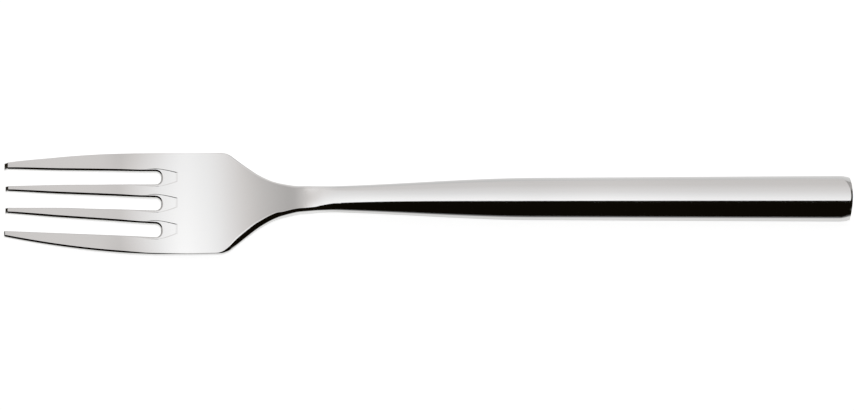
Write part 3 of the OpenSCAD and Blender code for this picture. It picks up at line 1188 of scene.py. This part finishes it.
def addCap(skin):
    turns = between(0, 2 * pi, capForm["columns"])

    def ovalPoint(x, half, a):
        return onHandle(x, half * cos(a), half * gripForm["oval"] * sin(a))

    def endX(share):  # of the end face, by a share of its half width
        return handleLength + capForm["reach"] - capForm["bulge"] * share ** 2

    def wallPoint(u, a):  # 0 at the shells, 1 where the rim begins
        rimStart = endX(cos(a)) - mix(*capForm["rimLength"], cos(a) ** 2)
        x = mix(shellLength, rimStart, u)
        return ovalPoint(x, gripHalf(jointAt + x), a)

    def rimPoint(u, a):  # 0 where the rim begins, 1 at the end face
        side = cos(a) ** 2
        length, depth = mix(*capForm["rimLength"], side), mix(*capForm["rimDepth"], side)
        x = endX(cos(a)) - length * (1 - u)
        return ovalPoint(x, gripHalf(jointAt + x) - depth * max(0, u) ** (1 + side), a)

    def facePoint(u, a):  # 0 at the rim, 1 in the middle
        half = gripHalf(jointAt + endX(cos(a))) - mix(*capForm["rimDepth"], cos(a) ** 2)
        return ovalPoint(endX((1 - u) * cos(a)), half * (1 - u), a)

    def normalsOf(surface, u):
        inside = onHandle(shellLength, 0, 0)
        step = capForm["probe"]
        normals = []
        for a in turns:
            around = surface(u, a + step) - surface(u, a - step)
            normal = around.cross(surface(u + step, a) - surface(u - step, a))
            normal = handleAxis if u == 1 and surface == facePoint else normal.normalized()
            normals.append(turnedTo(surface(u, a) - inside, normal))
        return normals

    surfaces = ((wallPoint, 1), (rimPoint, capForm["rimSteps"]), (facePoint, capForm["faceSteps"]))
    for surface, steps in surfaces:
        places = between(0, 1, steps)
        points = [[surface(u, a) for a in turns] for u in places]
        addPatch(skin, points, [normalsOf(surface, u) for u in places])
    spigotStart = shellLength - capForm["spigot"]
    spigotHalf = gripHalf(jointAt + spigotStart) - gripForm["wall"] - gripForm["fitGap"]
    foot, neck = cavityRing(spigotStart, spigotHalf, turns), cavityRing(shellLength, spigotHalf, turns)
    addFlat(skin, [[wallPoint(0, a) for a in turns], neck], -handleAxis)
    addPatch(skin, [neck, foot], [cavityNormals(turns)] * 2)
    addFlat(skin, [foot, cavityRing(spigotStart, 0, turns)], -handleAxis)


capSkin = newSkin()
addCap(capSkin)
seat(finishPiece(capSkin, "endCap", steel), "end_cap")

# Studio: a pale table under one large overhead panel that ends just in front of the fork, a dark room
# beyond it, and a low pale card at the front right. In reflections the table's glow is painted shade, dark in
# front of the fork.
# Angles are from the zenith, to the front or the right

studio = {
    "tableSize": 20,       # metres
    "tableShade": 0.4,
    "tableGlow": 0.9,      # what the camera sees of the table besides its own light
    # painted shade: the table's glow that reflections see is dark in front of the fork and paler near and
    # behind it
    "paintedTableShade": ((-60, 0), (-45, 0), (-20, 0.75), (6, 0.75), (25, 0.62), (60, 0.58)),  # front to back
    "panel": 1.16,
    "panelFront": (6.1, 6.7),   # where the panel ends
    "towardsFront": ((-90, 0.70), (-57, 0.73), (-27, 0.873), (1, 1.134), (8.5, 1.18)),
    "sideways": ((-80, 0.6), (-75, 0.015), (-58, 0.015), (-52, 0.6), (-42, 0.68), (-36, 0.36), (-31, 0.445),
                 (-26, 0.53), (-20, 0.655), (-12.4, 0.82), (-3, 0.955), (-0.5, 0.945), (3.6, 0.875),
                 (8.3, 0.735), (14, 0.535), (45, 0.535), (60, 0.02)),  # paler again low on the left
    "card": ((36, 0), (45, 0.8), (75, 0.8)),
    "cardFront": ((52, 0), (60, 1)),
    "beyond": 0.003,       # of the dark room
    "tints": ((0, (1.33, 1, 0.45)), (0.05, (1.03, 1, 0.99)), (0.62, (1.035, 1, 0.992)),
              (0.75, (1.02, 1, 1.005)), (0.88, (1.003, 1, 1.012))),  # of the light, by its brightness
}


def makeTable():
    reach = studio["tableSize"] / 2
    corners = [(-reach, -reach, 0), (reach, -reach, 0), (reach, reach, 0), (-reach, reach, 0)]
    mesh = bpy.data.meshes.new("table")
    mesh.from_pydata(corners, [], [(0, 1, 2, 3)])
    table = bpy.data.objects.new("table", mesh)
    scene.collection.objects.link(table)
    material, tree, shader = newMaterial("paleTable")
    tree.nodes.remove(shader)
    shade = studio["tableShade"]
    matt = addNode(tree, "ShaderNodeBsdfDiffuse", {"Color": (shade, shade, shade, 1)})
    rays = addNode(tree, "ShaderNodeLightPath").outputs
    mirrored = maths(tree, "MAXIMUM", rays["Is Glossy Ray"], rays["Is Transmission Ray"])
    direct = maths(tree, "MULTIPLY", rays["Is Camera Ray"], studio["tableGlow"])
    # painted shade seen only in reflections: the glossy glow falls off towards the front of the table
    stops = [(at * mm, value) for at, value in studio["paintedTableShade"]]
    across = axesOf(tree, addNode(tree, "ShaderNodeTexCoord").outputs["Object"])["Y"]
    paintedShadeFade = rampBetween(tree, across, stops[0][0], stops[-1][0], greys(stops))
    strength = maths(tree, "MULTIPLY_ADD", mirrored, paintedShadeFade, direct)
    glow = addNode(tree, "ShaderNodeEmission", {"Strength": strength})
    both = addNode(tree, "ShaderNodeAddShader", {0: matt.outputs[0], 1: glow.outputs[0]})
    feed(tree, tree.nodes["Material Output"], {"Surface": both.outputs[0]})
    mesh.materials.append(material)


def makeLight():
    world = bpy.data.worlds.new("studioLight")
    scene.world = world
    world.use_nodes = True
    tree = world.node_tree
    tree.nodes.clear()

    def times(a, b):
        return maths(tree, "MULTIPLY", a, b)

    def brightness(angle, name):
        return rampBetween(tree, angle, -90, 90, greys(studio[name]))

    axes = axesOf(tree, addNode(tree, "ShaderNodeTexCoord").outputs["Generated"])
    front = maths(tree, "DEGREES", maths(tree, "ARCTAN2", times(axes["Y"], -1), axes["Z"]))
    side = maths(tree, "DEGREES", maths(tree, "ARCSINE", axes["X"]))
    edge = mapRange(tree, front, studio["panelFront"], (1, 0), "SMOOTHSTEP")
    panel = times(times(brightness(front, "towardsFront"), brightness(side, "sideways")), edge)
    card = times(brightness(side, "card"), brightness(front, "cardFront"))
    light = maths(tree, "ADD", panel, maths(tree, "ADD", card, studio["beyond"]))
    background = addNode(tree, "ShaderNodeBackground", {
        "Color": addRamp(tree, light, studio["tints"]),
        "Strength": times(light, studio["panel"]),
    })
    addNode(tree, "ShaderNodeOutputWorld", {"Surface": background.outputs[0]})


makeTable()
makeLight()

cameraView = {
    "picture": (854, 410),         # pixels
    "elevation": 77.542,
    "distance": 1800,
    "roll": -0.234,
    "scale": 4.0639,               # pixels per millimetre at the target
    "target": (0, 0, 4),
    "targetPixel": (428.161, 200.499),
    "sensor": 36,
}


def makeCamera():
    lift, roll = radians(cameraView["elevation"]), radians(cameraView["roll"])
    forward = Vector((0, cos(lift), -sin(lift)))
    level = Vector((1, 0, 0))
    upward = Vector((0, sin(lift), cos(lift)))
    right = level * cos(roll) + upward * sin(roll)
    up = upward * cos(roll) - level * sin(roll)
    wide, high = cameraView["picture"]
    offX, offY = cameraView["targetPixel"][0] - wide / 2, cameraView["targetPixel"][1] - high / 2
    aim = Vector(cameraView["target"]) - (right * offX - up * offY) / cameraView["scale"]
    data = bpy.data.cameras.new("camera")
    data.sensor_width = cameraView["sensor"]
    data.lens = cameraView["scale"] * cameraView["distance"] * cameraView["sensor"] / wide
    camera = bpy.data.objects.new("camera", data)
    scene.collection.objects.link(camera)
    turn = Matrix((right, up, -forward)).transposed().to_4x4()
    camera.matrix_world = Matrix.Translation((aim - forward * cameraView["distance"]) * mm) @ turn
    scene.camera = camera


makeCamera()
print("studio ready")

bpy.context.view_layer.update()
